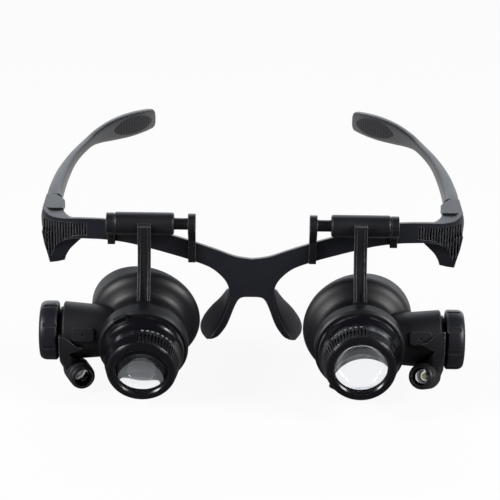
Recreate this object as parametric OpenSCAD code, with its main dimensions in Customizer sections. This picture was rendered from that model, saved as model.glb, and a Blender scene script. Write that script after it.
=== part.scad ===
// Magnifying spectacles with two flip-up loupes and a small lamp on each loupe.
// X runs to the viewer's right, -Y is the front, +Z is up. The origin is the
// middle of the nose arch, where the spectacles rest on the nose.

/* [Loupe placing] */
// distance of each optical axis from the middle
loupe_x = 38.75; // [37:0.05:41]
// height of the rail above the optical axis
drop = 38.3; // [36:0.1:41]
// turn of the left loupe about its rail, front end down
flip_left = 6.5; // [-8:0.5:8]
// turn of the right loupe about its rail, front end down
flip_right = -3; // [-8:0.5:8]

/* [Eyecup] */
// outer radius of the mouth
mouth_r = 20.1; // [19:0.1:21]
// outer radius of the neck behind the collar
neck_r = 14.2; // [13.9:0.1:14.8]
// outer radius of the collar that holds the lens barrel
collar_r = 16.2; // [15.9:0.1:17]
// front face of the collar, ahead of the rail
collar_front = 24; // [22.5:0.1:26]
// length of the collar
collar_len = 5.2; // [4:0.1:6]
// wall of the cup
cup_wall = 1.4; // [1:0.1:1.8]
// slant of the mouth towards the temple
mouth_slant = 12; // [4:1:14]

/* [Lens barrel] */
// radius of the lens opening at the front
opening_r = 9.35; // [8.6:0.05:9.6]
// outer radius of the front rim
rim_r = 12.3; // [11.8:0.1:13]
// front face of the rim, ahead of the rail
barrel_front = 38.2; // [37:0.1:41]
// radius of the rounded flange ahead of the collar
flange_r = 14.9; // [14.2:0.1:15.4]
// number of grip grooves
grooves = 26; // [12:1:32]
// radius of the spigot inside the collar
spigot_r = 12.3; // [11.8:0.1:12.5]
// turn of the left barrel seen from the front
barrel_turn_left = 0; // [-20:5:20]
// turn of the right barrel seen from the front
barrel_turn_right = 0; // [-20:5:20]

/* [Battery tube and cap] */
// outer radius of the tube
tube_r = 10.6; // [10:0.1:11]
// axis of the tube, ahead of the rail
tube_u = 13; // [12:0.1:14]
// outer end of the tube, from the optical axis
tube_end = 29.2; // [28:0.1:31]
// radius of the threaded neck
tube_neck_r = 7.5; // [7:0.1:7.8]
// radius of the cell bore
cell_bore_r = 6; // [5.9:0.05:6.2]
// length of the cap
cap_len = 6.5; // [6.2:0.1:8]
// gap between tube and cap
cap_gap = 2; // [1.4:0.1:2.4]

/* [Lamp] */
// distance of the lamp axis from the tube axis
lamp_drop = 13.1; // [12.5:0.1:14.5]
// bezel front, ahead of the tube axis
lamp_reach = 12.6; // [11.5:0.1:15]
// bezel centre, from the optical axis
lamp_x = 21.4; // [21:0.1:23]
// inward turn of the lamp
lamp_toe = 22; // [15:1:30]
// upward turn of the left lamp arm
pitch_left = 10; // [10:1:30]
// upward turn of the right lamp arm
pitch_right = 25; // [10:1:30]
// outer radius of the lamp barrel
lamp_r = 4.7; // [4.5:0.1:5.2]
// radius of the light-emitting diode
led_r = 2.5; // [2.3:0.1:2.6]

/* [Rail and hanger] */
// radius of the rail rod
rod_r = 2.1; // [1.9:0.05:2.4]
// outer radius of the sliding sleeve
sleeve_r = 4.05; // [3.8:0.05:4.2]
// length of the sleeve
sleeve_len = 21.4; // [19:0.1:22]
// inner edge of the outer clip, from the middle
clip_outer_x = 49.8; // [49.7:0.1:51]
// inner edge of the inner clip, from the middle
clip_inner_x = 20.5; // [19.5:0.1:21]
// thickness of the clips
clip_t = 2.7; // [2.2:0.1:3]
// width of the strut
strut_w = 4.65; // [4:0.05:5.2]

/* [Front frame and temples] */
// thickness of the front frame
frame_t = 3.6; // [3:0.1:4.2]
// depth of the louvres in the endpieces
louvre_depth = 0.7; // [0.4:0.1:1]
// seam between the front and the hinge block
seam_y = 16.4; // [15.8:0.1:17]
// radius of the hinge screw
hinge_pin_r = 1.1; // [0.9:0.05:1.3]
// distance behind the rail at which the temple tips end
temple_end = 136; // [124:1:142]

/* [Hidden] */
$fn = 64;
running = 0.05;   // radial running fit of a turning joint
free = 0.3;       // clearance between parts that only pass each other
rail_y = -3.8;    // the rail axis in the row frame
rail_z = 30.5;
cap_r = tube_r + 0.15;
cap_x = tube_end + cap_gap;
sleeve_x = clip_outer_x - 0.2 - sleeve_len / 2;
frame_black = [0.045, 0.047, 0.05];
gloss_black = [0.03, 0.03, 0.035];
arm_grey = [0.1, 0.105, 0.115];
rubber_black = [0.035, 0.035, 0.04];
steel = [0.72, 0.73, 0.75];
glass_tint = [0.9, 0.94, 0.97, 0.35];

// curve through control points
function spline_at(p, i, t) =
  let (n = len(p), a = p[max(i - 1, 0)], b = p[i], c = p[min(i + 1, n - 1)], d = p[min(i + 2, n - 1)])
  0.5 * (2 * b + (c - a) * t + (2 * a - 5 * b + 4 * c - d) * t * t + (3 * b - a - 3 * c + d) * t * t * t);
function smooth(p, n = 5) =
  concat([for (i = [0 : len(p) - 2]) for (k = [0 : n - 1]) spline_at(p, i, k / n)], [p[len(p) - 1]]);
function reversed(p) = [for (i = [len(p) - 1 : -1 : 0]) p[i]];
function at(p, t) = let (s = t * (len(p) - 1), i = min(floor(s), len(p) - 2)) spline_at(p, i, s - i);

// solid through a list of closed rings with equal point counts
module loft(rings) {
  n = len(rings[0]);
  m = len(rings);
  points = [for (r = rings) for (p = r) p];
  walls = [for (i = [0 : m - 2]) for (k = [0 : n - 1])
    let (a = i * n + k, b = i * n + (k + 1) % n) each [[a, b, b + n], [a, b + n, a + n]]];
  ends = [[for (k = [n - 1 : -1 : 0]) k], [for (k = [0 : n - 1]) (m - 1) * n + k]];
  polyhedron(points, concat(walls, ends));
}

module row() translate([0, rail_y, rail_z]) children();
module side(s) mirror([s < 0 ? 1 : 0, 0, 0]) children();
function flip(s) = s < 0 ? flip_left : flip_right;
// loupe frame: X outwards, Y up, Z forwards along the optical axis
module loupe(s) row() translate([s * loupe_x, 0, 0]) rotate([flip(s), 0, 0])
  translate([0, 0, -drop]) side(s) rotate([90, 0, 0]) children();
// tube frame: Z outwards along the battery tube
module tube(s) loupe(s) translate([0, 0, tube_u]) rotate([0, 90, 0]) children();
// lamp arm frame: X outwards, Y up, Z forwards, turned up about the tube
module lamp_arm_frame(s) loupe(s) translate([0, 0, tube_u])
  rotate([-(s < 0 ? pitch_left : pitch_right), 0, 0]) children();
module lamp() translate([lamp_x, -lamp_drop, lamp_reach]) rotate([0, -lamp_toe, 0]) children();

// Front frame
side_line = smooth([[74.6, -20.6], [75.6, -17], [76.6, -13], [77.3, -9], [77.5, -6], [77.2, -3.4]]);
top_line = smooth([[76.6, -1.7], [75, -2.5], [73.4, -3], [70, -2.9], [66, -2.3], [61, -1.7], [53, -1.4], [45, -2.3],
  [36, -4.4], [26, -7.1], [20, -9], [13, -11.4], [6, -14], [0, -14.9]]);
brow_bottom = smooth([[74, -20.6], [73.2, -17], [71.6, -14.3], [69.6, -12.4], [67, -11], [63.4, -10.1], [58.5, -9.7],
  [53, -9.6], [45, -10.3], [36.8, -12], [30, -13.7], [23.3, -15.6], [15.8, -18.4], [11.6, -21.6],
  [9, -25.2], [8.2, -29], [8.4, -33], [9.5, -37], [11, -41], [13.1, -45.3], [14.6, -47.8]]);
leg_inner = smooth([[13.9, -48.2], [11.9, -46.9], [9.4, -43.2], [7.9, -39.6], [6.9, -36.6], [6.1, -34.4], [5.1, -32.2],
  [4, -31], [2.4, -30.55], [0, -rail_z]]);
// the hinge screw's place, which the endpiece, the block and the temple follow
hinge_x = 72.7;
hinge_y = 22;
plan_front = smooth([[0, 2], [14, 2.3], [28, 3], [42, 4.3], [54, 5.7], [62, 7], [hinge_x - 5.2, 8.5],
  [hinge_x - 0.9, 10.4], [hinge_x + 1.9, 12.3], [hinge_x + 3.8, 14.4], [hinge_x + 5.2, 17]]);
plan_back = smooth([[0, 2 + frame_t], [14, 2.3 + frame_t], [28, 3 + frame_t], [42, 4.3 + frame_t],
  [54, 5.7 + frame_t], [62, 7.2 + frame_t], [66, 8.6 + frame_t], [68.6, 10.8 + frame_t], [69.3, 17]]);
louvre_field = concat(smooth([[77.4, -5.4], [74.5, -5], [68.5, -4.3], [60, -3.3]]),
  smooth([[60, -8.2], [64, -9], [67.2, -10.3], [70, -12.7], [72.2, -15.8], [73.8, -19]]),
  [[74.6, -19.2], [75.8, -15], [76.8, -10]]);
// the top of the brow bar falls away to the back, and levels out at the endpieces
bevel = 20;
bevel_line = [for (p = top_line) [p[0], lookup(p[0], plan_front) * sin(bevel)
  + (p[1] + 0.35 * pow(max(0, p[0] - 66), 1.6)) * cos(bevel)]];
block_top = -2.3;
block_bottom = -11;
tongue_low = -8.3;
tongue_high = -5.1;

module front_outline() polygon(concat(side_line, top_line, reversed(leg_inner), reversed(brow_bottom)));
module plan_strip() polygon(concat(plan_front, reversed(plan_back)));
module brow_half() {
  intersection() {
    translate([0, seam_y, 0]) rotate([90, 0, 0]) linear_extrude(seam_y + 2) front_outline();
    translate([0, 0, -60]) linear_extrude(64) plan_strip();
    rotate([90 - bevel, 0, 0]) translate([0, 0, -50]) linear_extrude(100)
      polygon(concat(bevel_line, [[0, -90], [90, -90], [90, 10]]));
  }
  endpiece_lip();
}
// lower lip of the endpiece, set back behind the louvred face
module endpiece_lip() intersection() {
  translate([0, seam_y, 0]) rotate([90, 0, 0]) linear_extrude(seam_y - 11.2)
    polygon(concat([[77, -9.5], [76.2, -14.5], [75.1, -19], [74.4, -22.2]], [[71.6, -21.8], [68.9, -21.1]],
      smooth([[68.3, -19.1], [66.8, -16.4], [64.6, -14], [62.8, -12.2]]), [[62.8, -9.3], [70, -9.3]]));
  translate([60, 0, 0]) rotate([90, 0, 90]) linear_extrude(18)
    polygon(concat([[seam_y, -9], [seam_y, -15]], smooth([[16.2, -18], [15.5, -20.6], [14.4, -23]]),
      [[11.6, -23], [10.9, -9]]));
}
module louvres() intersection() {
  translate([0, seam_y, 0]) rotate([90, 0, 0]) linear_extrude(seam_y) polygon(louvre_field);
  translate([0, 0, -30]) linear_extrude(30)
    polygon(concat([for (p = plan_front) p + [2, -3]], reversed([for (p = plan_front) p + [-0.35, 1] * louvre_depth])));
  for (i = [0 : 15]) translate([60.3 + 1.04 * i, 0, -30]) cube([0.54, 30, 30]);
}
module front_frame() color(frame_black) row() {
  for (s = [-1, 1]) side(s) difference() {
    brow_half();
    louvres();
    translate([hinge_x - 1.6, seam_y - 3, -8.2]) cube([3.2, 4, 3]);
    clip_notch();
  }
}
// notch in the lower edge of the bar that takes the hook of the inner clip
module clip_notch() translate([clip_inner_x, -1, inner_bottom - 3]) cube([clip_t, 20, 3]);

// Nose pads: leaf-shaped wings that run back and outwards from the legs
pad_front = [[7.6, 4.9, -29.2], [8, 4.9, -32.5], [9.2, 4.9, -37], [10.7, 4.9, -41.2], [12.3, 4.8, -45.2],
  [13.2, 4.7, -48], [14, 5.2, -49.9]];
pad_back = [[8.8, 6.6, -29.5], [11.5, 8.2, -34], [14.5, 9.7, -38], [17.4, 11.3, -43], [18.8, 12, -47.3],
  [18.3, 11.4, -50.6], [16.2, 8.8, -51.9]];
pad_t = 1.7;
function pad_ring(a, b) =
  let (d = b - a, l = norm(d), u = d / l, w = cross(u, [0, 0, 1]), v = -w / norm(w) * pad_t / 2)
  [for (k = [0 : 15]) let (q = k * 22.5, c = cos(q), m = (a + b) / 2)
    m + u * (l / 2) * sign(c) * pow(abs(c), 0.6) + v * sign(sin(q)) * pow(abs(sin(q)), 0.8)];
module nose_pad(s) color(rubber_black) row() side(s) difference() {
  loft([for (i = [0 : 24]) pad_ring(at(pad_front, i / 24), at(pad_back, i / 24))]);
  brow_half();
}
module nose_pad_left() nose_pad(-1);
module nose_pad_right() nose_pad(1);

// Hinge blocks, screws and temples
eye_r = 2.6;
module hinge_block(s) color(arm_grey) row() side(s) difference() {
  union() {
    translate([0, 0, block_bottom]) linear_extrude(block_top - block_bottom) {
      translate([hinge_x, hinge_y]) {
        polygon([[-3.3, seam_y + 0.2 - hinge_y], [4.3, seam_y + 0.2 - hinge_y], [3.8, 6.3], [1, 6.3], [0, 0], [-3.3, 0]]);
        circle(3.5);
        polygon(smooth([[-3.5, -0.2], [-2.9, 2], [-1.3, 4.2], [1, 6.3], [1, 0]], 3));
      }
    }
    translate([hinge_x - 1.6, seam_y - 3, -8.2]) cube([3.2, 4, 3]);
  }
  translate([hinge_x - 12, hinge_y - 3.6, tongue_low - free])
    cube([12 + eye_r + free, 20, tongue_high - tongue_low + 2 * free]);
  translate([hinge_x, hinge_y, block_bottom - 1]) cylinder(r = hinge_pin_r, h = 8.9);
  translate([hinge_x, hinge_y, block_bottom - 1]) cylinder(r = 2, h = 1.9);
}
module hinge_block_left() hinge_block(-1);
module hinge_block_right() hinge_block(1);

module hinge_screw(s) color(steel) row() side(s) translate([hinge_x, hinge_y, block_bottom]) difference() {
  union() {
    translate([0, 0, 0.1]) cylinder(r = 2, h = 0.8);
    cylinder(r = hinge_pin_r, h = 7.9);
  }
  translate([-0.25, -3, -1]) cube([0.5, 6, 1.5]);
}
module hinge_screw_left() hinge_screw(-1);
module hinge_screw_right() hinge_screw(1);

arm_y = [hinge_y + 6.6, 36.9, 52.6, 70.3, 86.6, 96.1, 106.5, 117.5, 127.5, temple_end];
arm_x = [for (d = [0.9, 1.2, 0, -2.8, -7.1, -10.5, -15.5, -21.5, -26.9, -31.1]) hinge_x + d];
arm_z = [-6.6, -6.5, -6.4, -6.8, -7.9, -9, -10.9, -13.4, -15.8, -18];
arm_w = [6, 5.4, 4.5, 3.2, 2.9, 2.9, 3.2, 3.6, 3.6, 3];
arm_h = [8.6, 8, 6.4, 4.6, 4.2, 6.2, 9, 10.4, 9.8, 8.2];
arm_path = [for (i = [0 : len(arm_y) - 1]) [arm_x[i], arm_y[i], arm_z[i]]];
arm_size = [for (i = [0 : len(arm_y) - 1]) [arm_w[i], arm_h[i], 0]];
tip_round = 0.045;
function tip(t) = t < 1 - tip_round ? 1 : sqrt(max(0.03, 1 - pow((t - 1 + tip_round) / tip_round, 2)));
function arm_across(t) = let (d = at(arm_path, min(t + 0.01, 1)) - at(arm_path, max(t - 0.01, 0)))
  [d[1], -d[0], 0] / norm([d[0], d[1]]);
// ring of a rounded section whose width runs across the path
function arm_ring(t, power = 0.62) = let (c = at(arm_path, t), e = arm_across(t), size = at(arm_size, t) * tip(t))
  [for (k = [0 : 23]) let (q = k * 15) c + e * size[0] / 2 * sign(cos(q)) * pow(abs(cos(q)), power)
    + [0, 0, 1] * size[1] / 2 * sign(sin(q)) * pow(abs(sin(q)), power)];
arm_stations = concat([for (i = [0 : 47]) i * (1 - tip_round) / 48], [for (i = [0 : 8]) 1 - tip_round * pow(1 - i / 8, 2)]);
grip_from = 0.66;
grip_to = 0.93;
grip_ribs = 15;
// ring of the oval grip let into the inner face, with ribs across it
function grip_ring(f) = let (t = grip_from + (grip_to - grip_from) * f, size = at(arm_size, t),
  oval = sqrt(max(0.03, 1 - pow(2 * f - 1, 2))), rib = 0.22 * pow(sin(f * 180 * grip_ribs), 2))
  [for (k = [0 : 15]) let (q = k * 22.5, across = cos(q) > 0 ? 0.8 * cos(q) : (0.25 + rib) * cos(q))
    at(arm_path, t) + arm_across(t) * (across * (0.3 + 0.7 * oval) - size[0] / 2)
      + [0, 0, 0.36 * size[1] * oval * sin(q)]];
module temple_grip() loft([for (i = [0 : 4 * grip_ribs]) grip_ring(i / (4 * grip_ribs))]);
module temple(s) color(arm_grey) row() side(s) difference() {
  union() {
    loft([for (t = arm_stations) arm_ring(t)]);
    translate([hinge_x - 1.8, hinge_y, tongue_low]) cube([3.6, 8.4, tongue_high - tongue_low]);
    translate([hinge_x, hinge_y, tongue_low]) cylinder(r = eye_r, h = tongue_high - tongue_low);
  }
  translate([hinge_x, hinge_y, tongue_low - 1]) cylinder(r = hinge_pin_r + running, h = 6);
  temple_grip();
}
module temple_left() temple(-1);
module temple_right() temple(1);
module temple_pad(s) color(rubber_black) row() side(s) temple_grip();
module temple_pad_left() temple_pad(-1);
module temple_pad_right() temple_pad(1);

// Rail clips hooked over the brow bar, with the rod turning in them
hook_t = 0.9;
inner_bottom = -15.2;
outer_bottom = -9.5;
module clip_outline(front, bottom, back) difference() {
  union() {
    circle(sleeve_r - 0.3);
    polygon([[-3, -1.6], [front - 1.7, -7.5], [front - 1.7, bottom - hook_t], [back + 1.3, bottom - hook_t],
      [back + 1.3, bottom + 2.9], [back, bottom + 2.9], [back, bottom], [front, bottom], [front, -4.5], [3, -1.5]]);
  }
  circle(rod_r + running);
}
module clip(s, x, front, bottom, back) color(gloss_black) row() side(s) difference() {
  translate([x, 0, 0]) rotate([90, 0, 90]) linear_extrude(clip_t) clip_outline(front, bottom, back);
  difference() {
    brow_half();
    clip_notch();
  }
}
module clip_outer_left() clip(-1, clip_outer_x, 5.3, outer_bottom, 9);
module clip_outer_right() clip(1, clip_outer_x, 5.3, outer_bottom, 9);
module clip_inner_left() clip(-1, clip_inner_x, 2.75, inner_bottom, 6.3);
module clip_inner_right() clip(1, clip_inner_x, 2.75, inner_bottom, 6.3);

// The rod has a flat that keys the sleeve to it
rod_flat = 0.5;
module rod_solid(grow) intersection() {
  rotate([0, 90, 0]) cylinder(r = rod_r + grow, h = 60);
  translate([-1, -5, -5]) cube([62, 5 + rod_r - rod_flat + grow, 10]);
}
module rail_rod(s) color(gloss_black) row() side(s) intersection() {
  union() {
    rod_solid(0);
    for (x = [clip_inner_x, clip_outer_x]) translate([x, 0, 0]) rotate([0, 90, 0]) cylinder(r = rod_r, h = clip_t);
  }
  translate([clip_inner_x + 0.3, -5, -5]) cube([clip_outer_x + clip_t - clip_inner_x - 0.6, 10, 10]);
}
module rail_rod_left() rail_rod(-1);
module rail_rod_right() rail_rod(1);

// Hanger: the sleeve that slides on the rod, and the strut down to the eyecup
strut_path = [[-4.7, 2.1], [-5.1, -3], [-6, -9], [-8.6, -15], [-12, -19.4], [-16.2, -22.9]];
module strut_side(t) {
  curve = smooth(strut_path);
  n = len(curve) - 1;
  function normal(i) = let (d = curve[min(i + 1, n)] - curve[max(i - 1, 0)]) [-d[1], d[0]] / norm(d);
  polygon(concat([for (i = [0 : n]) curve[i] - normal(i) * t / 2], [for (i = [n : -1 : 0]) curve[i] + normal(i) * t / 2]));
}
module hanger(s) color(gloss_black) row() rotate([flip(s), 0, 0]) side(s) difference() {
  union() {
    translate([sleeve_x - sleeve_len / 2, 0, 0]) rotate([0, 90, 0]) rotate_extrude()
      polygon([[0, 0], [sleeve_r - 0.7, 0], [sleeve_r - 0.2, 0.2], [sleeve_r, 0.7], [sleeve_r, sleeve_len - 0.7],
        [sleeve_r - 0.2, sleeve_len - 0.2], [sleeve_r - 0.7, sleeve_len], [0, sleeve_len]]);
    translate([loupe_x - strut_w / 2, 0, 0]) rotate([90, 0, 90]) linear_extrude(strut_w) strut_side(2.4);
    translate([loupe_x - strut_w / 2, -4, -3.2]) cube([strut_w, 3, 5]);
  }
  rotate([-flip(s), 0, 0]) rod_solid(running);
  for (q = [-1, 1]) translate([loupe_x - 1.35, 0, 0]) rotate([90, 0, 90]) linear_extrude(2.7)
    translate([-2.1, -0.4]) strut_side(1.9);
  translate([0, 0, -drop]) translate([loupe_x, 0, 0]) rotate([90, 0, 0]) cylinder(r = neck_r + 1.5, h = 40);
}
module hanger_left() hanger(-1);
module hanger_right() hanger(1);

// Eyecup: slanted mouth, flared bowl, neck and collar
cup_outer = smooth([[mouth_r, 4.2], [mouth_r - 0.4, 6], [mouth_r - 1.6, 7.6], [neck_r + 2.4, 9], [neck_r + 0.9, 10.4],
  [neck_r + 0.15, 12], [neck_r, 14]], 4);
module cup_profile(grow = 0) polygon(concat([[0, -8], [mouth_r + grow, -8]], [for (p = cup_outer) p + [grow, 0]],
  [[neck_r + grow, collar_front - collar_len - 1.2], [collar_r + grow, collar_front - collar_len],
   [collar_r + grow, collar_front - 0.7], [collar_r - 0.7 + grow, collar_front], [0, collar_front]]));
module cup_solid() rotate_extrude($fn = 96) cup_profile();
module mouth_cut() rotate([0, mouth_slant, 0]) translate([-40, -40, -39.2]) cube([80, 80, 40]);
module strut_boss() translate([-strut_w / 2 + 0.2, neck_r - 1, 15.6])
  cube([strut_w - 0.4, collar_r - neck_r + 0.8, collar_front - collar_len - 15.6 + 0.2]);
module strut_socket() translate([-strut_w / 2 - 0.3, neck_r - 1, 14.3])
  cube([strut_w + 0.6, 2.5, 1.5]);
module eyecup(s) color(gloss_black) loupe(s) difference() {
  union() {
    cup_solid();
    strut_boss();
    strut_socket();
  }
  mouth_cut();
  difference() {
    rotate_extrude($fn = 96) polygon(concat([[0, -9], [mouth_r - cup_wall, -9]],
      [for (p = cup_outer) p + [-cup_wall, -0.9]],
      [[spigot_r + running, collar_front - collar_len - 1], [spigot_r + running, collar_front + 1], [0, collar_front + 1]]));
  }
}
module eyecup_left() eyecup(-1);
module eyecup_right() eyecup(1);

// Lens barrel: rounded flange, grip grooves and front rim
seat_u = barrel_front - 1.9;
lens_r = opening_r + 0.55;
lens_edge = 1.6;
tick_r = rim_r + 1.05;
barrel_curve = smooth([[flange_r, 25.6], [flange_r - 0.25, 26.9], [flange_r - 0.9, 28.1],
  [rim_r + 1.3, 29.3], [tick_r, 30.6]], 4);
module lens_barrel_solid() rotate_extrude($fn = 96) polygon(concat(
  [[0, collar_front - collar_len - 0.6], [spigot_r, collar_front - collar_len - 0.6], [spigot_r, collar_front + 0.15],
   [flange_r - 0.5, collar_front + 0.15], [flange_r, collar_front + 0.65]], barrel_curve,
  [[tick_r, 33.4], [rim_r + 0.2, barrel_front - 1.1], [rim_r, barrel_front - 0.9], [rim_r - 0.15, barrel_front - 0.35],
   [rim_r - 0.7, barrel_front], [0, barrel_front]]));
module lens_barrel_bore() rotate_extrude($fn = 96) polygon([[0, 0], [spigot_r - 1.3, 0],
  [spigot_r - 1.3, collar_front + 4], [lens_r + 0.3, collar_front + 5], [lens_r + 0.3, seat_u - lens_edge],
  [lens_r, seat_u - lens_edge], [lens_r, seat_u], [opening_r, seat_u], [opening_r, barrel_front - 0.6],
  [opening_r + 0.5, barrel_front], [opening_r + 0.5, barrel_front + 1], [0, barrel_front + 1]]);
module grip_groove() translate([rim_r + 0.1, -0.32, 32.7]) cube([2, 0.64, barrel_front - 0.9 - 32.7]);
module barrel_place(s) loupe(s) rotate([0, 0, s < 0 ? barrel_turn_left : barrel_turn_right]) children();
module lens_barrel(s) color(gloss_black) barrel_place(s) difference() {
  union() {
    lens_barrel_solid();
    // thumb lug that turns the bayonet
    rotate([0, 0, s < 0 ? 60 : 240]) translate([flange_r - 1.5, -2.5, collar_front + 0.15]) cube([3.4, 5, 1.8]);
  }
  lens_barrel_bore();
  for (i = [0 : grooves - 1]) rotate([0, 0, 85 + 5.5 * i]) grip_groove();
}
module lens_barrel_left() lens_barrel(-1);
module lens_barrel_right() lens_barrel(1);

// Seven raised index ticks ahead of the grip grooves
module barrel_ticks(s) color([0.85, 0.86, 0.86]) barrel_place(s) difference() {
  for (i = [0 : 6]) rotate([0, 0, 91 + 8 * i]) translate([rim_r, -0.5, 31.2]) cube([1.3, 1, 0.6]);
  cylinder(r = tick_r, h = barrel_front);
}
module barrel_ticks_left() barrel_ticks(-1);
module barrel_ticks_right() barrel_ticks(1);

// Lens and the ring that holds it
lens_front = seat_u - 0.2;
lens_back = lens_front - lens_edge;
front_sag = 1.5;
back_sag = 4.2;
function ball(sag) = (lens_r * lens_r + sag * sag) / (2 * sag);
module lens(s) color(glass_tint) barrel_place(s) intersection() {
  translate([0, 0, lens_front + front_sag - ball(front_sag)]) sphere(ball(front_sag), $fn = 180);
  translate([0, 0, lens_back - back_sag + ball(back_sag)]) sphere(ball(back_sag), $fn = 180);
  translate([0, 0, seat_u - 10]) cylinder(r = lens_r - running, h = 20);
}
module lens_left() lens(-1);
module lens_right() lens(1);
module lens_ring(s) color(gloss_black) barrel_place(s) rotate_extrude($fn = 96)
  polygon([[lens_r - 0.5, lens_back - 3.2], [lens_r + 0.28, lens_back - 3.2], [lens_r + 0.28, lens_back - 0.02],
    [lens_r - 0.05, lens_back - 0.02], [lens_r - 0.5, lens_back - 0.6]]);
module lens_ring_left() lens_ring(-1);
module lens_ring_right() lens_ring(1);

// Battery tube with its index tab and threaded neck
tube_taper = 0.085;
module battery_tube(s) color(gloss_black) tube(s) difference() {
  union() {
    cylinder(r1 = tube_r - tube_taper * (tube_end - 0.5), r2 = tube_r, h = tube_end - 0.5);
    translate([0, 0, tube_end - 0.5]) cylinder(r1 = tube_r, r2 = tube_r - 0.5, h = 0.5);
    cylinder(r = tube_neck_r, h = tube_end + cap_gap + cap_len - 2.8);
    index_tab();
  }
  translate([0, 0, 15]) cylinder(r = cell_bore_r, h = 40);
  rotate([0, -90, 0]) translate([0, 0, -tube_u]) cup_solid();
  rotate([0, -90, 0]) translate([0, 0, -tube_u]) cylinder(r = neck_r - 1, h = 30);
}
// raised rounded tab with a small engraved triangle
module index_tab() rotate([0, 0, -27]) translate([0.25 - tube_r, 0, 21.7]) rotate([0, 90, 0]) difference() {
  linear_extrude(3) union() {
    square([7.8, 2.4], center = true);
    square([5.4, 4.8], center = true);
    for (x = [-2.7, 2.7], y = [-1.2, 1.2]) translate([x, y]) circle(1.2);
  }
  translate([0, 0, -1]) linear_extrude(1.3) polygon([[0.9, -0.5], [-0.9, -0.5], [0, 0.6]]);
}
module battery_tube_left() battery_tube(-1);
module battery_tube_right() battery_tube(1);

module battery_cap(s) color(gloss_black) tube(s) translate([0, 0, cap_x]) difference() {
  rotate_extrude($fn = 96) polygon(concat([[0, 0], [cap_r - 0.5, 0], [cap_r, 0.5]],
    smooth([[cap_r, cap_len - 2.4], [cap_r - 0.3, cap_len - 1.2], [cap_r - 1.1, cap_len - 0.3], [cap_r - 2.4, cap_len]], 4),
    [[cap_r - 3, cap_len], [cap_r - 3.6, cap_len - 0.4], [0, cap_len - 0.4]]));
  translate([0, 0, -1]) cylinder(r = tube_neck_r + running, h = cap_len - 2.6 + 1);
  for (a = [0 : 45 : 315]) rotate([0, 0, a]) translate([cap_r - 0.35, -0.8, -1]) cube([2, 1.6, cap_len - 0.55]);
}
module battery_cap_left() battery_cap(-1);
module battery_cap_right() battery_cap(1);

cell_h = 3.05;
cell_r = 5.8;
cells_end = cap_x + cap_len - 2.7;
module cells(s) color(steel) tube(s) for (i = [0 : 2]) translate([0, 0, cells_end - cell_h * (i + 1)]) {
  cylinder(r = cell_r - 0.35, h = cell_h);
  translate([0, 0, 0.35]) cylinder(r = cell_r, h = cell_h - 0.7);
}
module cells_left() cells(-1);
module cells_right() cells(1);

coil_wire = 0.4;
coil_from = mouth_r - 1.6 + coil_wire + 0.1;   // just clear of the bowl's wall
coil_to = cells_end - 3 * cell_h - coil_wire;
coil_turns = 5;
function coil_at(a) = let (f = a / (360 * coil_turns)) [(5 - 1.8 * f) * cos(a), (5 - 1.8 * f) * sin(a),
  coil_from + (coil_to - coil_from) * f];
module contact_spring(s) color(steel) tube(s) loft([for (a = [0 : 15 : 360 * coil_turns])
  let (c = coil_at(a), u = [cos(a), sin(a), 0]) [for (k = [0 : 60 : 300]) c + coil_wire * (u * cos(k) + [0, 0, sin(k)])]]);
module contact_spring_left() contact_spring(-1);
module contact_spring_right() contact_spring(1);

// Lamp arm: a ring on the tube neck, a saddle round the tube and the lamp barrel
saddle_r = tube_r + 1.3;
saddle_in = 21.3;
saddle_out = tube_end + 1.05;
module tube_clearance(from) rotate([0, 90, 0]) {
  translate([0, 0, from]) cylinder(r1 = tube_r - tube_taper * (tube_end - from) + 0.15, r2 = tube_r + 0.15, h = tube_end + 0.15 - from);
  // relief that lets the saddle pass over the index tab
  translate([0, 0, from]) cylinder(r = tube_r + 0.3, h = 26 - from);
}
module pie(r, from, to) polygon(concat([[0, 0]], [for (i = [0 : 12]) let (a = from + (to - from) * i / 12) r * [cos(a), sin(a)]]));
// outline in the plane across the tube: up is +X, forwards is +Y
module across_tube(x, h) translate([x, 0, 0]) rotate([90, 0, 90]) linear_extrude(h) children();
// wing of the saddle seen from the front: a concave upper edge that runs in to a point
wing_line = smooth([[saddle_out + 1, 3], [saddle_out - 1.2, 2.6], [27, 1.6], [25.2, 0], [23.4, -1.3], [saddle_in, -1.5]]);
module saddle_wing() intersection() {
  across_tube(saddle_in, saddle_out - saddle_in) circle(saddle_r);
  translate([0, 0, -20]) linear_extrude(40)
    polygon(concat(wing_line, [[26.6, -4.2], [25.5, -20], [saddle_out + 1, -20]]));
}
module lamp_shell() lamp() rotate_extrude() polygon(concat([[0, -2.5], [lamp_r - 0.3, -2.5], [lamp_r, -2.8]],
  smooth([[lamp_r, -9], [lamp_r - 0.5, -11.2], [lamp_r - 1.8, -12.8], [0, -13.6]], 4)));
module lamp_split() lamp() translate([-6, -8, -20]) cube([12, 8 - 2.1, 15]);
module arm_outer() {
  saddle_wing();
  hull() {
    across_tube(26.2, saddle_out - 26.2) intersection() {
      circle(saddle_r);
      rotate(180) pie(20, -64, 46);
    }
    lamp() translate([0, 0, -11.5]) cylinder(r = lamp_r - 0.9, h = 6.2);
  }
  lamp_shell();
}
module lamp_arm(s) color(gloss_black) lamp_arm_frame(s) difference() {
  union() {
    arm_outer();
    across_tube(tube_end + 0.15, 0.9) intersection() {
      circle(saddle_r);
      rotate(180) pie(20, -102, 102);
    }
    across_tube(tube_end + 0.15, 0.9) circle(tube_neck_r + 1.1);
  }
  rotate([0, 90, 0]) cylinder(r = tube_neck_r + running, h = 60);
  tube_clearance(10);
  lamp() translate([0, 0, -9]) cylinder(r = led_r + 0.5, h = 20);
  lamp() translate([0, 0, -2.5]) cylinder(r = lamp_r + 1, h = 10);
  lamp_split();
}
module lamp_arm_left() lamp_arm(-1);
module lamp_arm_right() lamp_arm(1);

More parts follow.
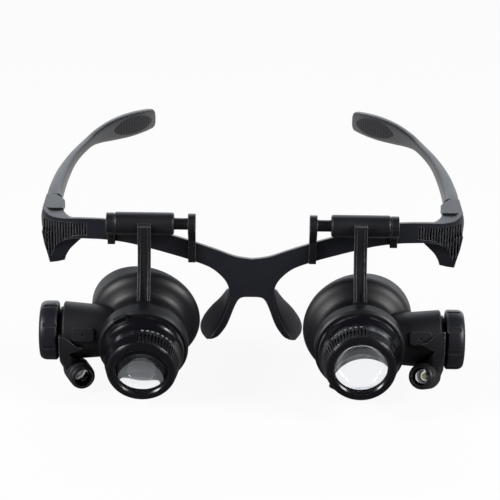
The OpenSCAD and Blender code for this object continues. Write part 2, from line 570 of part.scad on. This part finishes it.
module lamp_cover(s) color(gloss_black) lamp_arm_frame(s) difference() {
  intersection() {
    lamp_shell();
    lamp() translate([-6, -8, -20]) cube([12, 8 - 2.25, 15 - 0.15]);
  }
  tube_clearance(10);
  lamp() translate([0, 0, -9]) cylinder(r = led_r + 0.5, h = 20);
}
module lamp_cover_left() lamp_cover(-1);
module lamp_cover_right() lamp_cover(1);

module lamp_bezel(s) color(gloss_black) lamp_arm_frame(s) lamp() rotate_extrude() polygon(
  [[led_r + 0.5, -2.5], [lamp_r - 0.1, -2.5], [lamp_r - 0.1, -1.3], [lamp_r - 0.3, -0.5], [lamp_r - 0.9, 0],
   [lamp_r - 1.4, 0], [led_r + 0.9, -0.6], [led_r + 0.5, -1]]);
module lamp_bezel_left() lamp_bezel(-1);
module lamp_bezel_right() lamp_bezel(1);

// clear diode with a domed front and a rear flange
module led(s) color([0.93, 0.95, 1, 0.5]) lamp_arm_frame(s) lamp() {
  translate([0, 0, -9]) cylinder(r = led_r + 0.5, h = 1);
  translate([0, 0, -8]) cylinder(r = led_r, h = 5.6);
  translate([0, 0, -2.4]) intersection() {
    sphere(led_r, $fn = 64);
    cylinder(r = led_r, h = 10);
  }
}
module led_left() led(-1);
module led_right() led(1);

// part to build

front_frame();
nose_pad_left();
nose_pad_right();
hinge_block_left();
hinge_block_right();
hinge_screw_left();
hinge_screw_right();
temple_left();
temple_right();
temple_pad_left();
temple_pad_right();
clip_outer_left();
clip_outer_right();
clip_inner_left();
clip_inner_right();
rail_rod_left();
rail_rod_right();
hanger_left();
hanger_right();
eyecup_left();
eyecup_right();
lens_barrel_left();
lens_barrel_right();
barrel_ticks_left();
barrel_ticks_right();
lens_left();
lens_right();
lens_ring_left();
lens_ring_right();
battery_tube_left();
battery_tube_right();
battery_cap_left();
battery_cap_right();
cells_left();
cells_right();
contact_spring_left();
contact_spring_right();
lamp_arm_left();
lamp_arm_right();
lamp_cover_left();
lamp_cover_right();
lamp_bezel_left();
lamp_bezel_right();
led_left();
led_right();
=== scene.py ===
import math
import bmesh
import bpy
from mathutils import Matrix, Vector


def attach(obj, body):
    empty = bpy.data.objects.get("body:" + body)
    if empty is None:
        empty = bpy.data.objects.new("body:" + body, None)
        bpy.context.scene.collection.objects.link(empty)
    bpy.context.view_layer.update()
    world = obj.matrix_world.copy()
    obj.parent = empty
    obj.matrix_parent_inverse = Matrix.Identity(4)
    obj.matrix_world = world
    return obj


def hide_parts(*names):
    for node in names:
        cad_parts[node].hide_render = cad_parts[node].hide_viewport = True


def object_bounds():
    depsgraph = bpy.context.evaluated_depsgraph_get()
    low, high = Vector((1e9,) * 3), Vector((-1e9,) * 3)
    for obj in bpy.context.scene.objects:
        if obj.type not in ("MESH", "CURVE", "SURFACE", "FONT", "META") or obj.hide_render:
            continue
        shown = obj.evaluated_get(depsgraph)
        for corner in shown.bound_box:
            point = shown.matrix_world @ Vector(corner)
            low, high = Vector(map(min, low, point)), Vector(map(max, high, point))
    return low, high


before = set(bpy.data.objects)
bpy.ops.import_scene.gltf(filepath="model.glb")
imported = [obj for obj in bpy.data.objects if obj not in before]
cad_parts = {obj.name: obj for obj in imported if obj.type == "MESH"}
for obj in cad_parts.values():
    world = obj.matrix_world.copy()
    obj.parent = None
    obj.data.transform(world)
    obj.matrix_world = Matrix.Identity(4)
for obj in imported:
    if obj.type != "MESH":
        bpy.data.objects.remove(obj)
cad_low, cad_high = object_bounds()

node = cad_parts

# Camera
# A long lens 0.8 m in front of the rail, looking down at 27 degrees, so that the loupes hang below
# the brow bar. The small offsets set the object in the frame.
rail = Vector((0, -0.0038, 0.0305))
view_height = math.radians(27.0)
view_roll = math.radians(0.809)
view_distance = 0.7957
view_left = 0.000954
view_down = 0.009025
to_camera = Vector((0, -math.cos(view_height), math.sin(view_height)))
level = Vector((1, 0, 0))
upright = to_camera.cross(level)
camera_x = level * math.cos(view_roll) + upright * math.sin(view_roll)
camera_y = upright * math.cos(view_roll) - level * math.sin(view_roll)
camera_place = Matrix((camera_x, camera_y, to_camera)).transposed().to_4x4()
camera_place.translation = (
    rail - camera_x * view_left - camera_y * view_down + to_camera * view_distance)
camera = bpy.data.objects.new("camera", bpy.data.cameras.new("camera"))
bpy.context.scene.collection.objects.link(camera)
camera.matrix_world = camera_place
camera.data.sensor_width = 36
camera.data.lens = 159.6
camera.data.clip_start = 0.02
camera.data.clip_end = 20
bpy.context.scene.camera = camera


# Front frame
# One moulding of black nylon: brow bar, nose arch and the louvred endpieces. The mould's fine spark
# grain leaves it satin. Its edges are a little rounded and painted paler, partly wear from handling
# and partly painted highlight, and its grooves carry painted shade and are dull.
def noise(tree, detail=2, size=1):
    place = tree.nodes.new("ShaderNodeTexCoord")
    pattern = tree.nodes.new("ShaderNodeTexNoise")
    pattern.inputs["Detail"].default_value = detail
    pattern.inputs["Scale"].default_value = size
    tree.links.new(place.outputs["Object"], pattern.inputs["Vector"])
    return pattern


def remap(tree, value, from_range=(0, 1), to_range=(0, 1)):
    ramp = tree.nodes.new("ShaderNodeMapRange")
    ramp.inputs["From Min"].default_value = from_range[0]
    ramp.inputs["From Max"].default_value = from_range[1]
    ramp.inputs["To Min"].default_value = to_range[0]
    ramp.inputs["To Max"].default_value = to_range[1]
    tree.links.new(value, ramp.inputs["Value"])
    return ramp.outputs["Result"]


def combine(tree, operation, first, second, clamp=False):
    step = tree.nodes.new("ShaderNodeMath")
    step.operation = operation
    step.use_clamp = clamp
    tree.links.new(first, step.inputs[0])
    tree.links.new(second, step.inputs[1])
    return step.outputs["Value"]


moulded = bpy.data.node_groups.new("moulded_grain", "ShaderNodeTree")
for name, kind, start in (
    ("Colour", "NodeSocketColor", (0.02, 0.02, 0.02, 1)),
    ("Rubbed and highlit", "NodeSocketColor", (0.08, 0.08, 0.08, 1)),
    ("Roughness", "NodeSocketFloat", 0.4),
    ("Grain size", "NodeSocketFloat", 3000.0),
    ("Grain depth", "NodeSocketFloat", 0.3),
    ("Edge", "NodeSocketFloat", 0.00025),
):
    moulded.interface.new_socket(name, in_out="INPUT", socket_type=kind).default_value = start
for name, kind in (
    ("Colour", "NodeSocketColor"),
    ("Roughness", "NodeSocketFloat"),
    ("Normal", "NodeSocketVector"),
):
    moulded.interface.new_socket(name, in_out="OUTPUT", socket_type=kind)
new, wire = moulded.nodes.new, moulded.links.new
given = new("NodeGroupInput")
result = new("NodeGroupOutput")
spark = noise(moulded, detail=3)
wire(given.outputs["Grain size"], spark.inputs["Scale"])
flow = noise(moulded, detail=4, size=55)
rub = noise(moulded, detail=5, size=420)
# edges, from how far the rounded normal leans away from the face's own; painted paler there,
# partly as wear and partly as painted highlight
rounding = new("ShaderNodeBevel")
rounding.samples = 6
wire(given.outputs["Edge"], rounding.inputs["Radius"])
flat = new("ShaderNodeNewGeometry")
lean = new("ShaderNodeVectorMath")
lean.operation = "DOT_PRODUCT"
wire(rounding.outputs["Normal"], lean.inputs[0])
wire(flat.outputs["Normal"], lean.inputs[1])
edge = remap(moulded, lean.outputs["Value"], from_range=(0.97, 0.8), to_range=(0, 1.3))
worn_and_highlit = combine(moulded, "MULTIPLY", edge, rub.outputs["Fac"])
# grooves, darkened by painted shade from an occlusion test, and not rubbed
crevice = new("ShaderNodeAmbientOcclusion")
crevice.samples = 6
crevice.inputs["Distance"].default_value = 0.0016
# painted shade: the colour falls to 4% where the occlusion test finds the surface hemmed in
depth = remap(moulded, crevice.outputs["AO"], from_range=(0.45, 0.9), to_range=(0.04, 1))
open_worn_and_highlit = combine(moulded, "MULTIPLY", worn_and_highlit, depth)
cloud = remap(moulded, flow.outputs["Fac"], from_range=(0.35, 0.75), to_range=(0, 0.02))
# pale share: painted highlight and wear on the edges, outside the painted groove shade, plus faint
# random clouding
pale = combine(moulded, "ADD", open_worn_and_highlit, cloud, clamp=True)
tint = new("ShaderNodeMix")
tint.data_type = "RGBA"
wire(pale, tint.inputs[0])
wire(given.outputs["Colour"], tint.inputs[6])
wire(given.outputs["Rubbed and highlit"], tint.inputs[7])
# the colour is scaled down by the painted groove shade
shaded = new("ShaderNodeVectorMath")
shaded.operation = "SCALE"
wire(tint.outputs[2], shaded.inputs[0])
wire(depth, shaded.inputs["Scale"])
wire(shaded.outputs["Vector"], result.inputs["Colour"])
# the skin is glossier in places, and dull in the grooves
sheen = remap(moulded, flow.outputs["Fac"], to_range=(-0.07, 0.09))
gloss = combine(moulded, "ADD", given.outputs["Roughness"], sheen)
dusty = remap(moulded, depth, to_range=(0.45, 0))
wire(combine(moulded, "ADD", gloss, dusty, clamp=True), result.inputs["Roughness"])
bump = new("ShaderNodeBump")
bump.inputs["Distance"].default_value = 0.00006
wire(given.outputs["Grain depth"], bump.inputs["Strength"])
wire(spark.outputs["Fac"], bump.inputs["Height"])
wire(rounding.outputs["Normal"], bump.inputs["Normal"])
wire(bump.outputs["Normal"], result.inputs["Normal"])


def new_material(name):
    material = bpy.data.materials.new(name)
    material.use_nodes = True
    return material, material.node_tree, material.node_tree.nodes["Principled BSDF"]


def moulded_plastic(name, colour, rubbed_and_highlit, roughness, grain_size, grain_depth, edge_radius):
    material, tree, shader = new_material(name)
    shader.inputs["IOR"].default_value = 1.49
    surface = tree.nodes.new("ShaderNodeGroup")
    surface.node_tree = moulded
    surface.inputs["Colour"].default_value = (*colour, 1)
    surface.inputs["Rubbed and highlit"].default_value = (*rubbed_and_highlit, 1)
    surface.inputs["Roughness"].default_value = roughness
    surface.inputs["Grain size"].default_value = grain_size
    surface.inputs["Grain depth"].default_value = grain_depth
    surface.inputs["Edge"].default_value = edge_radius
    tree.links.new(surface.outputs["Colour"], shader.inputs["Base Color"])
    tree.links.new(surface.outputs["Roughness"], shader.inputs["Roughness"])
    tree.links.new(surface.outputs["Normal"], shader.inputs["Normal"])
    return material


def finish_nodes(material, *names):
    for name in names:
        node[name].data.materials.clear()
        node[name].data.materials.append(material)


def finish_pairs(material, *names):
    for name in names:
        finish_nodes(material, name + "_left", name + "_right")


frame_nylon = moulded_plastic(
    "frame_nylon", colour=(0.013, 0.0138, 0.021), rubbed_and_highlit=(0.3, 0.305, 0.32),
    roughness=0.36, grain_size=2600, grain_depth=0.35, edge_radius=0.0004)
finish_nodes(frame_nylon, "front_frame")

# Nose pads
# Leaf-shaped wings of a softer, greyer rubber than the front. They are moulded on to the legs of the
# nose arch, one on each side.
pad_rubber = moulded_plastic(
    "pad_rubber", colour=(0.11, 0.11, 0.125), rubbed_and_highlit=(0.2, 0.202, 0.21),
    roughness=0.45, grain_size=3200, grain_depth=0.3, edge_radius=0.0004)
finish_pairs(pad_rubber, "nose_pad")

# Hinge blocks and temples
# Black nylon like the front, swept back to broad tips with a ribbed rubber grip let into the inner
# face. A steel screw from below holds each temple's tongue in its block.
arm_nylon = moulded_plastic(
    "arm_nylon", colour=(0.012, 0.0126, 0.016), rubbed_and_highlit=(0.3, 0.304, 0.31),
    roughness=0.38, grain_size=2400, grain_depth=0.4, edge_radius=0.0004)
finish_pairs(arm_nylon, "hinge_block", "temple")
grip_rubber = moulded_plastic(
    "grip_rubber", colour=(0.004, 0.004, 0.0065), rubbed_and_highlit=(0.16, 0.16, 0.17),
    roughness=0.7, grain_size=3600, grain_depth=0.5, edge_radius=0.0003)
finish_pairs(grip_rubber, "temple_pad")


def plated_metal(name, colour, roughness, drawn_size):
    shadow_share = 0.8
    smooth_share, rough_share = 0.7, 1.4
    material, tree, shader = new_material(name)
    shader.inputs["Metallic"].default_value = 1
    drawn = noise(tree, detail=5, size=drawn_size)
    tint = tree.nodes.new("ShaderNodeMix")
    tint.data_type = "RGBA"
    tint.inputs[6].default_value = (*[c * shadow_share for c in colour], 1)
    tint.inputs[7].default_value = (*colour, 1)
    tree.links.new(drawn.outputs["Fac"], tint.inputs[0])
    tree.links.new(tint.outputs[2], shader.inputs["Base Color"])
    rough = remap(
        tree, drawn.outputs["Fac"],
        to_range=(roughness * smooth_share, roughness * rough_share))
    tree.links.new(rough, shader.inputs["Roughness"])
    bump = tree.nodes.new("ShaderNodeBump")
    bump.inputs["Strength"].default_value = 0.3
    bump.inputs["Distance"].default_value = 0.00002
    tree.links.new(drawn.outputs["Fac"], bump.inputs["Height"])
    tree.links.new(bump.outputs["Normal"], shader.inputs["Normal"])
    return material


screw_steel = plated_metal("screw_steel", (0.62, 0.62, 0.64), roughness=0.28, drawn_size=2600)
finish_pairs(screw_steel, "hinge_screw")

# Rail clips, rods, sleeves and struts
# Clips hooked over the brow bar hold a rod on which each loupe's sleeve slides and turns. All are
# injection-moulded ABS with a satin skin and paler edges.
rail_abs = moulded_plastic(
    "rail_abs", colour=(0.005, 0.005, 0.008), rubbed_and_highlit=(0.3, 0.305, 0.32),
    roughness=0.46, grain_size=2200, grain_depth=0.4, edge_radius=0.00035)
finish_pairs(rail_abs, "clip_outer", "clip_inner", "rail_rod", "hanger")

# Eyecups
# Wide bowls of smooth black ABS with a soft highlight, drawn down to the collar that takes the lens
# barrel. Each hangs from the strut of its sleeve.
bowl_abs = moulded_plastic(
    "bowl_abs", colour=(0.0035, 0.0035, 0.006), rubbed_and_highlit=(0.1, 0.101, 0.11),
    roughness=0.46, grain_size=1500, grain_depth=0.16, edge_radius=0.0003)
finish_pairs(bowl_abs, "eyecup")

# Battery tubes and caps
# The tubes have a coarser spark grain than the bowls, and the screw caps are smooth with shallow
# grooves. Inside, three button cells stand on a conical spring.
tube_abs = moulded_plastic(
    "tube_abs", colour=(0.0042, 0.0042, 0.0066), rubbed_and_highlit=(0.16, 0.161, 0.17),
    roughness=0.54, grain_size=1900, grain_depth=0.5, edge_radius=0.0003)
finish_pairs(tube_abs, "battery_tube")
cap_abs = moulded_plastic(
    "cap_abs", colour=(0.0085, 0.009, 0.0135), rubbed_and_highlit=(0.11, 0.114, 0.125),
    roughness=0.4, grain_size=2600, grain_depth=0.25, edge_radius=0.0004)
finish_pairs(cap_abs, "battery_cap")
cell_nickel = plated_metal("cell_nickel", (0.78, 0.77, 0.74), roughness=0.2, drawn_size=900)
finish_pairs(cell_nickel, "cells")
spring_steel = plated_metal("spring_steel", (0.6, 0.6, 0.62), roughness=0.25, drawn_size=4000)
finish_pairs(spring_steel, "contact_spring")

# Lens barrels
# Moulded ABS, turned to focus by a ring of fine grooves, with pale printed ticks above them. The
# flange catches the light in two arcs, so it is the shiniest moulding.
barrel_abs = moulded_plastic(
    "barrel_abs", colour=(0.004, 0.004, 0.0062), rubbed_and_highlit=(0.11, 0.111, 0.12),
    roughness=0.2, grain_size=2400, grain_depth=0.12, edge_radius=0.0003)
finish_pairs(barrel_abs, "lens_barrel", "lens_ring")
tick_paint = moulded_plastic(
    "tick_paint", colour=(0.3, 0.31, 0.33), rubbed_and_highlit=(0.12, 0.12, 0.13),
    roughness=0.5, grain_size=5000, grain_depth=0.4, edge_radius=0.00008)
finish_pairs(tick_paint, "barrel_ticks")


# Lenses
# Polished biconvex acrylic, steeper behind than in front, with a plain ground edge. Each is turned
# here with rings fine enough to refract cleanly, along Z with its edges at their heights in the
# loupe, and then set on the loupe's axes. The right one is of a weaker power.
def clear_resin(name, colour, index, haze, haze_size):
    material, tree, shader = new_material(name)
    shader.inputs["Base Color"].default_value = (*colour, 1)
    shader.inputs["Transmission Weight"].default_value = 1
    shader.inputs["IOR"].default_value = index
    swirl = noise(tree, size=haze_size)
    rough = remap(tree, swirl.outputs["Fac"], to_range=(0, haze))
    tree.links.new(rough, shader.inputs["Roughness"])
    return material


def pick_edges(piece, wanted):
    bpy.ops.mesh.select_mode(type="EDGE")
    mesh = bmesh.from_edit_mesh(piece.data)
    for edge in mesh.edges:
        edge.select_set(wanted(edge))
    bmesh.update_edit_mesh(piece.data)


def place_on_axes(piece, origin, aim, up):
    axes = Matrix((up.cross(aim), up, aim)).transposed().to_4x4()
    axes.translation = origin
    piece.matrix_world = axes @ piece.matrix_world
    bpy.ops.object.transform_apply(location=True, rotation=True, scale=True)


lens_glass = clear_resin("lens_glass", (0.97, 0.985, 1), index=1.49, haze=0.02, haze_size=300)
lens_radius = 0.00985
sag_radius = 0.0099
lens_front_edge = 0.0361
lens_back_edge = 0.0345
smooth_angle = 0.6


def turned_lens(name, origin, aim, up, front_sag, back_sag, body, stands_for):
    front_rings, back_rings = 200, 90
    caps = []
    for sag, edge_height, rings, side in (
        (front_sag, lens_front_edge, front_rings, 1),
        (back_sag, lens_back_edge, back_rings, -1),
    ):
        curve = (sag_radius ** 2 + sag ** 2) / (2 * sag)
        middle = edge_height + side * (sag - curve)
        bpy.ops.object.select_all(action="DESELECT")
        bpy.ops.mesh.primitive_uv_sphere_add(
            segments=128, ring_count=rings, radius=curve, location=(0, 0, middle))
        cap = bpy.context.object
        bpy.ops.object.transform_apply(location=True, rotation=False, scale=False)
        bpy.ops.object.mode_set(mode="EDIT")
        rim = middle + side * math.sqrt(curve ** 2 - lens_radius ** 2)
        bpy.ops.mesh.bisect(plane_co=(0, 0, rim), plane_no=(0, 0, side), clear_inner=True)
        bpy.ops.object.mode_set(mode="OBJECT")
        caps.append(cap)
    bpy.ops.object.select_all(action="DESELECT")
    for cap in caps:
        cap.select_set(True)
    bpy.context.view_layer.objects.active = caps[0]
    bpy.ops.object.join()
    lens = bpy.context.object
    lens.name = name
    bpy.ops.object.mode_set(mode="EDIT")
    pick_edges(lens, lambda edge: edge.is_boundary)
    bpy.ops.mesh.bridge_edge_loops()
    bpy.ops.mesh.select_all(action="SELECT")
    bpy.ops.mesh.normals_make_consistent(inside=False)
    bpy.ops.object.mode_set(mode="OBJECT")
    place_on_axes(lens, origin, aim, up)
    bpy.ops.object.shade_smooth_by_angle(angle=smooth_angle)
    lens.data.materials.append(lens_glass)
    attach(lens, body)
    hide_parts(stands_for)


turned_lens(
    "turned_lens_left", origin=Vector((-0.03875, 0.000536, -0.007554)),
    aim=Vector((0, -0.99357, -0.1132)), up=Vector((0, -0.1132, 0.99357)),
    front_sag=0.0014, back_sag=0.0042, body="barrel_left", stands_for="lens_left")
turned_lens(
    "turned_lens_right", origin=Vector((0.03875, -0.005804, -0.007748)),
    aim=Vector((0, -0.99863, 0.05234)), up=Vector((0, 0.05234, 0.99863)),
    front_sag=0.001, back_sag=0.0026, body="barrel_right", stands_for="lens_right")

# Lamp arms
# Each arm straddles its tube and ends in a small barrel for the lamp, closed below by a cover and in
# front by a ring. All three are moulded in satin ABS.
lamp_abs = moulded_plastic(
    "lamp_abs", colour=(0.009, 0.009, 0.0118), rubbed_and_highlit=(0.24, 0.243, 0.255),
    roughness=0.36, grain_size=2300, grain_depth=0.35, edge_radius=0.00035)
finish_pairs(lamp_abs, "lamp_arm", "lamp_cover", "lamp_bezel")

# Diodes
# A clear epoxy dome cast over a plated lead frame: a post with a reflector cup that holds the chip
# under its pale phosphor, and a second post joined to it by a hair-thin bond wire. Each is modelled
# along Z with the front of the dome at zero, and then turned into its lamp.
epoxy = clear_resin("clear_epoxy", (0.97, 0.98, 1), index=1.5, haze=0.05, haze_size=500)
frame_tin = plated_metal("frame_tin", (0.88, 0.88, 0.88), roughness=0.34, drawn_size=1800)
phosphor = moulded_plastic(
    "phosphor", colour=(0.6, 0.6, 0.3), rubbed_and_highlit=(0.75, 0.75, 0.45),
    roughness=0.6, grain_size=9000, grain_depth=0.4, edge_radius=0.00002)


def pick_faces(piece, wanted):
    mesh = bmesh.from_edit_mesh(piece.data)
    for face in mesh.faces:
        face.select_set(wanted(face))
    bmesh.update_edit_mesh(piece.data)


def faces_up(face):
    return face.normal.z > 0.9


def faces_down(face):
    return face.normal.z < -0.9


def extrude_by(x, z):
    bpy.ops.mesh.extrude_region_move(TRANSFORM_OT_translate={"value": (x, 0, z)})


def resize_by(x, y, z=1):
    bpy.ops.transform.resize(value=(x, y, z))


def epoxy_dome(name, front, aim, up, body, stands_for):
    dome_radius, dome_centre = 0.0025, -0.0024
    body_length, flange_height, flange_share = 0.0056, 0.001, 1.18
    bpy.ops.object.select_all(action="DESELECT")
    bpy.ops.mesh.primitive_uv_sphere_add(
        segments=72, ring_count=72, radius=dome_radius, location=(0, 0, dome_centre))
    dome = bpy.context.object
    dome.name = name
    bpy.ops.object.transform_apply(location=True, rotation=False, scale=False)
    bpy.ops.object.mode_set(mode="EDIT")
    bpy.ops.mesh.bisect(plane_co=(0, 0, dome_centre), plane_no=(0, 0, 1), clear_inner=True)
    pick_edges(dome, lambda edge: edge.is_boundary)
    extrude_by(0, -body_length)
    extrude_by(0, 0)
    resize_by(flange_share, flange_share)
    extrude_by(0, -flange_height)
    bpy.ops.mesh.edge_face_add()
    bpy.ops.mesh.select_all(action="SELECT")
    bpy.ops.mesh.normals_make_consistent(inside=False)
    bpy.ops.object.mode_set(mode="OBJECT")
    place_on_axes(dome, front, aim, up)
    bpy.ops.object.shade_smooth_by_angle(angle=smooth_angle)
    dome.data.materials.append(epoxy)
    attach(dome, body)
    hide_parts(stands_for)


def lead_frame(name, front, aim, up, body):
    # the post with its reflector cup, whose hollow and neck narrow downwards
    cup_x, cup_z, cup_radius, cup_height = -0.0002, -0.0043, 0.00125, 0.0008
    cup_rim, hollow_depth, hollow_share = 0.00022, 0.00045, 0.6
    neck_length, neck_share_x, neck_share_y, stem_length = 0.0005, 0.55, 0.3, 0.0038
    bpy.ops.object.select_all(action="DESELECT")
    bpy.ops.mesh.primitive_cylinder_add(
        vertices=48, radius=cup_radius, depth=cup_height, location=(cup_x, 0, cup_z))
    cup = bpy.context.object
    bpy.ops.object.mode_set(mode="EDIT")
    pick_faces(cup, faces_up)
    bpy.ops.mesh.inset(thickness=cup_rim)
    extrude_by(0, -hollow_depth)
    resize_by(hollow_share, hollow_share)
    pick_faces(cup, faces_down)
    extrude_by(0, -neck_length)
    resize_by(neck_share_x, neck_share_y)
    extrude_by(0, -stem_length)
    bpy.ops.object.mode_set(mode="OBJECT")
    cup.data.materials.append(frame_tin)
    # the second post, wider and cut off on a slant
    post_x, post_z, post_size = 0.00165, -0.0071, 0.001
    post_share_x, post_share_y, post_share_z = 0.55, 0.5, 3.6
    head_lean, head_height, head_share_x, head_share_y = -0.00012, 0.0007, 1.25, 0.8
    bpy.ops.object.select_all(action="DESELECT")
    bpy.ops.mesh.primitive_cube_add(size=post_size, location=(post_x, 0, post_z))
    post = bpy.context.object
    bpy.ops.object.mode_set(mode="EDIT")
    resize_by(post_share_x, post_share_y, post_share_z)
    pick_faces(post, faces_up)
    extrude_by(head_lean, head_height)
    resize_by(head_share_x, head_share_y)
    bpy.ops.mesh.select_all(action="SELECT")
    bpy.ops.mesh.bevel(offset=0.00008, segments=2, affect="EDGES")
    bpy.ops.object.mode_set(mode="OBJECT")
    post.data.materials.append(frame_tin)
    # the phosphor over the chip, a low dome in the cup
    chip_z, chip_radius, chip_height = -0.0042, 0.00042, 0.00016
    crown_rim, crown_height = 0.00012, 0.00008
    bpy.ops.object.select_all(action="DESELECT")
    bpy.ops.mesh.primitive_cylinder_add(
        vertices=32, radius=chip_radius, depth=chip_height, location=(cup_x, 0, chip_z))
    chip = bpy.context.object
    bpy.ops.object.mode_set(mode="EDIT")
    pick_faces(chip, faces_up)
    bpy.ops.mesh.inset(thickness=crown_rim)
    bpy.ops.transform.translate(value=(0, 0, crown_height))
    bpy.ops.object.mode_set(mode="OBJECT")
    chip.data.materials.append(phosphor)
    # the bond wire, one arch from chip to post
    arch_x, arch_z, arch_radius, thread_radius = 0.0005, -0.0044, 0.00072, 0.00003
    bpy.ops.object.select_all(action="DESELECT")
    bpy.ops.mesh.primitive_torus_add(
        major_radius=arch_radius, minor_radius=thread_radius, major_segments=48, minor_segments=8,
        location=(arch_x, 0, arch_z), rotation=(math.pi / 2, 0, 0))
    thread = bpy.context.object
    bpy.ops.object.transform_apply(location=True, rotation=True, scale=True)
    bpy.ops.object.mode_set(mode="EDIT")
    pick_faces(thread, lambda face: face.calc_center_median().z < arch_z)
    bpy.ops.mesh.delete(type="FACE")
    bpy.ops.object.mode_set(mode="OBJECT")
    thread.data.materials.append(frame_tin)
    # joined, then turned into the lamp
    for part in (cup, post, chip, thread):
        part.select_set(True)
    bpy.context.view_layer.objects.active = cup
    bpy.ops.object.join()
    piece = bpy.context.object
    piece.name = name
    place_on_axes(piece, front, aim, up)
    bpy.ops.object.shade_smooth_by_angle(angle=smooth_angle)
    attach(piece, body)


for side, front, aim, up in (
    ("left", Vector((-0.06015, -0.025757, -0.021332)),
     Vector((0.37461, -0.92545, 0.0566)), Vector((0, 0.06105, 0.99813))),
    ("right", Vector((0.06015, -0.036062, -0.012718)),
     Vector((-0.37461, -0.81865, 0.43529)), Vector((0, 0.46947, 0.88295))),
):
    epoxy_dome("epoxy_dome_" + side, front, aim, up, "lamp_" + side, "led_" + side)
    lead_frame("lead_frame_" + side, front, aim, up, "lamp_" + side)

# Floor and backdrop
# A seamless pale sweep that reads white to the camera and through the lenses, and keeps a soft
# shadow. What shines sees it dark in front and white behind.
floor_gap = 0.0002
floor_level = cad_low.z - floor_gap
bpy.ops.object.select_all(action="DESELECT")
bpy.ops.mesh.primitive_plane_add(size=6, location=(0, 0, floor_level))
floor = bpy.context.object
floor.name = "floor"


def seen_rays(tree, path):
    return combine(
        tree, "MAXIMUM", path.outputs["Is Camera Ray"], path.outputs["Is Transmission Ray"])


def blend_shaders(tree, share, first, second):
    mix = tree.nodes.new("ShaderNodeMixShader")
    tree.links.new(share, mix.inputs["Fac"])
    tree.links.new(first, mix.inputs[1])
    tree.links.new(second, mix.inputs[2])
    return mix.outputs["Shader"]


dark_until, white_from, front_glow, white_share = 0, 0.12, 0.1, 0.92
paper, tree, shader = new_material("paper")
shader.inputs["Base Color"].default_value = (0.82, 0.82, 0.82, 1)
shader.inputs["Roughness"].default_value = 0.9
place = tree.nodes.new("ShaderNodeTexCoord")
place_parts = tree.nodes.new("ShaderNodeSeparateXYZ")
tree.links.new(place.outputs["Object"], place_parts.inputs["Vector"])
glow = remap(
    tree, place_parts.outputs["Y"],
    from_range=(dark_until, white_from), to_range=(front_glow, 1))
sheet_glow = tree.nodes.new("ShaderNodeEmission")
tree.links.new(glow, sheet_glow.inputs["Strength"])
path = tree.nodes.new("ShaderNodeLightPath")
mirrored = blend_shaders(
    tree, path.outputs["Is Glossy Ray"], shader.outputs["BSDF"], sheet_glow.outputs["Emission"])
share = tree.nodes.new("ShaderNodeMath")
share.operation = "MULTIPLY"
share.inputs[1].default_value = white_share
tree.links.new(seen_rays(tree, path), share.inputs[0])
white = tree.nodes.new("ShaderNodeEmission")
sheet = blend_shaders(tree, share.outputs["Value"], mirrored, white.outputs["Emission"])
tree.links.new(sheet, tree.nodes["Material Output"].inputs["Surface"])
floor.data.materials.append(paper)

# Light
# A soft box and a wider, weaker one on either side, and a room that is pale behind the object and
# dark on the camera's side, so that black plastic stays black and its top edges shine.
left_aim, right_aim = Vector((-0.03, -0.02, 0)), Vector((0.03, -0.02, 0))
wide_size, box_size = 0.7, 0.28
for name, stand, aim, size, power in (
    ("wide_left", Vector((-0.76, -0.28, 0.42)), left_aim, wide_size, 0.7),
    ("wide_right", Vector((0.76, -0.25, 0.44)), right_aim, wide_size, 0.6),
    ("box_left", Vector((-0.7, -0.28, 0.38)), left_aim, box_size, 6),
    ("box_right", Vector((0.7, -0.25, 0.4)), right_aim, box_size, 5.8),
):
    lamp = bpy.data.objects.new(name, bpy.data.lights.new(name, "AREA"))
    bpy.context.scene.collection.objects.link(lamp)
    lamp.location = stand
    lamp.rotation_euler = (aim - stand).to_track_quat("-Z", "Y").to_euler()
    lamp.data.size = size
    lamp.data.energy = power
pale_starts, pale_full, front_strength, back_strength = 0.68, 0.85, 0.03, 2.4
world = bpy.data.worlds.new("room")
bpy.context.scene.world = world
world.use_nodes = True
tree = world.node_tree
room = tree.nodes["Background"]
room.inputs["Color"].default_value = (0.9, 0.95, 1, 1)
compass = tree.nodes.new("ShaderNodeTexCoord")
compass_parts = tree.nodes.new("ShaderNodeSeparateXYZ")
tree.links.new(compass.outputs["Generated"], compass_parts.inputs["Vector"])
strength = remap(
    tree, compass_parts.outputs["Y"],
    from_range=(pale_starts, pale_full), to_range=(front_strength, back_strength))
tree.links.new(strength, room.inputs["Strength"])
sweep = tree.nodes.new("ShaderNodeBackground")
sweep.inputs["Color"].default_value = (1, 1, 1, 1)
path = tree.nodes.new("ShaderNodeLightPath")
backdrop = blend_shaders(
    tree, seen_rays(tree, path), room.outputs["Background"], sweep.outputs["Background"])
tree.links.new(backdrop, tree.nodes["World Output"].inputs["Surface"])
bpy.context.scene.view_settings.view_transform = "Standard"
